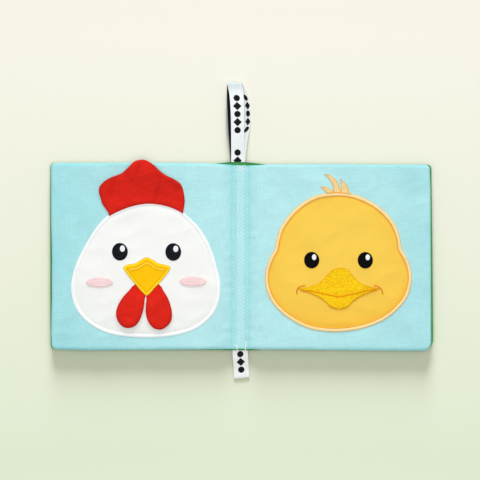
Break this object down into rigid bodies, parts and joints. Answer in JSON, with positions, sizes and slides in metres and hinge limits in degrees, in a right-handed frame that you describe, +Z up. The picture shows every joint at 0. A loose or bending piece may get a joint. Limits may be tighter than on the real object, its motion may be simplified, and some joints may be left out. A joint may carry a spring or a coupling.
{
  "type": "crinkle cloth book",
  "caption": "Square soft cloth book open at its middle spread, hen face left, duckling face right, with turning leaves, lift-up comb and wattle flaps, a hanging tape loop and a bottom tab.",
  "frame": {"origin": "on the surface the book lies on, under the middle of the whole book's box, loop and tab included", "axes": "+X along the spread from the hen's leaf to the duckling's leaf, +Y along the spine to the hanging loop, +Z up out of the open pages"},
  "size_m": [0.302, 0.233, 0.01],
  "materials": {
    "aqua_cloth": "fine plain weave, matte",
    "green_cloth": "fine plain weave, matte",
    "red_cloth": "fine plain weave, matte",
    "white_cloth": "fine plain weave, matte",
    "white_thread": "satin stitch, soft sheen",
    "black_thread": "satin stitch, soft sheen",
    "yellow_cloth": "fine plain weave, matte",
    "peach_thread": "satin stitch, soft sheen",
    "orange_thread": "satin stitch, soft sheen",
    "amber_cloth": "fine plain weave, matte",
    "bright_yellow_thread": "satin stitch, soft sheen",
    "pink_thread": "satin stitch, soft sheen",
    "white_tape": "woven satin tape",
    "aqua_thread": "sewing thread",
    "wadding": "soft polyester wadding",
    "crinkle_film": "thin crinkly film"
  },
  "bodies": {
    "spine": {"spread_spine_fabric": "aqua_cloth", "spread_spine_backing": "green_cloth", "spread_seam_left": "aqua_thread", "spread_seam_right": "aqua_thread", "cover_spine_fabric": "green_cloth", "cover_spine_lining": "green_cloth", "cover_seam_left": "aqua_thread", "cover_seam_right": "aqua_thread", "loop_bartack": "white_thread", "loop_sewn_end": "white_tape", "tab_sewn_end": "white_tape"},
    "hen_leaf": {"hen_page_fabric": "aqua_cloth", "hen_page_crinkle_film": "crinkle_film", "hen_page_batting": "wadding", "hen_page_backing": "green_cloth", "hen_head": "white_cloth", "hen_head_border": "white_thread", "hen_eye_left": "black_thread", "hen_eye_glint_left": "white_thread", "hen_eye_right": "black_thread", "hen_eye_glint_right": "white_thread", "hen_cheek_left": "pink_thread", "hen_cheek_right": "pink_thread", "hen_beak": "amber_cloth", "hen_beak_border": "bright_yellow_thread", "comb_root": "red_cloth"},
    "duck_leaf": {"duck_page_fabric": "aqua_cloth", "duck_page_crinkle_film": "crinkle_film", "duck_page_batting": "wadding", "duck_page_backing": "green_cloth", "duck_head": "yellow_cloth", "duck_head_border": "peach_thread", "duck_eye_left": "black_thread", "duck_eye_glint_left": "white_thread", "duck_eye_right": "black_thread", "duck_eye_glint_right": "white_thread", "duck_bill_upper": "bright_yellow_thread", "duck_bill_lower": "bright_yellow_thread", "duck_mouth_seam": "orange_thread", "duck_smile_crease_left": "orange_thread", "duck_smile_crease_right": "orange_thread", "duck_tuft": "peach_thread"},
    "front_cover": {"front_cover_fabric": "green_cloth", "front_cover_crinkle_film": "crinkle_film", "front_cover_batting": "wadding", "front_cover_lining": "green_cloth"},
    "back_cover": {"back_cover_fabric": "green_cloth", "back_cover_crinkle_film": "crinkle_film", "back_cover_batting": "wadding", "back_cover_lining": "green_cloth"},
    "comb": {"comb_front": "red_cloth", "comb_back": "red_cloth", "comb_wadding": "wadding"},
    "left_wattle": {"left_wattle_front": "red_cloth", "left_wattle_back": "red_cloth"},
    "right_wattle": {"right_wattle_front": "red_cloth", "right_wattle_back": "red_cloth"},
    "hanging_loop": {"hanging_loop": "white_tape"},
    "bottom_tab": {"bottom_tab": "white_tape"}
  },
  "joints": [
    {"name": "hen_leaf_turn", "type": "hinge", "parent": "spine", "child": "hen_leaf", "pos_m": [-0.006, -0.02135, 0.0053], "axis": [0, 1, 0], "range_deg": [0, 162]},
    {"name": "duck_leaf_turn", "type": "hinge", "parent": "spine", "child": "duck_leaf", "pos_m": [0.006, -0.02135, 0.0053], "axis": [0, 1, 0], "range_deg": [-162, 0]},
    {"name": "front_cover_turn", "type": "hinge", "parent": "hen_leaf", "child": "front_cover", "pos_m": [-0.006, -0.02135, 0.0021], "axis": [0, 1, 0], "range_deg": [-165, 0]},
    {"name": "back_cover_turn", "type": "hinge", "parent": "duck_leaf", "child": "back_cover", "pos_m": [0.006, -0.02135, 0.0021], "axis": [0, 1, 0], "range_deg": [0, 165]},
    {"name": "comb_lift", "type": "hinge", "parent": "hen_leaf", "child": "comb", "pos_m": [-0.0779, 0.02265, 0.0091], "axis": [-1, 0, 0], "range_deg": [-165, 0]},
    {"name": "left_wattle_lift", "type": "hinge", "parent": "hen_leaf", "child": "left_wattle", "pos_m": [-0.0833, -0.04375, 0.0095], "axis": [0.686, -0.7276, 0], "range_deg": [-165, 0]},
    {"name": "right_wattle_lift", "type": "hinge", "parent": "hen_leaf", "child": "right_wattle", "pos_m": [-0.0645, -0.04365, 0.0095], "axis": [-0.727, -0.6866, 0], "range_deg": [0, 160]},
    {"name": "loop_flop", "type": "hinge", "parent": "spine", "child": "hanging_loop", "pos_m": [0, 0.05465, 0.0037], "axis": [1, 0, 0], "range_deg": [-70, 70]},
    {"name": "tab_flop", "type": "hinge", "parent": "spine", "child": "bottom_tab", "pos_m": [0, -0.09735, 0.0037], "axis": [1, 0, 0], "range_deg": [-70, 70]}
  ]
}
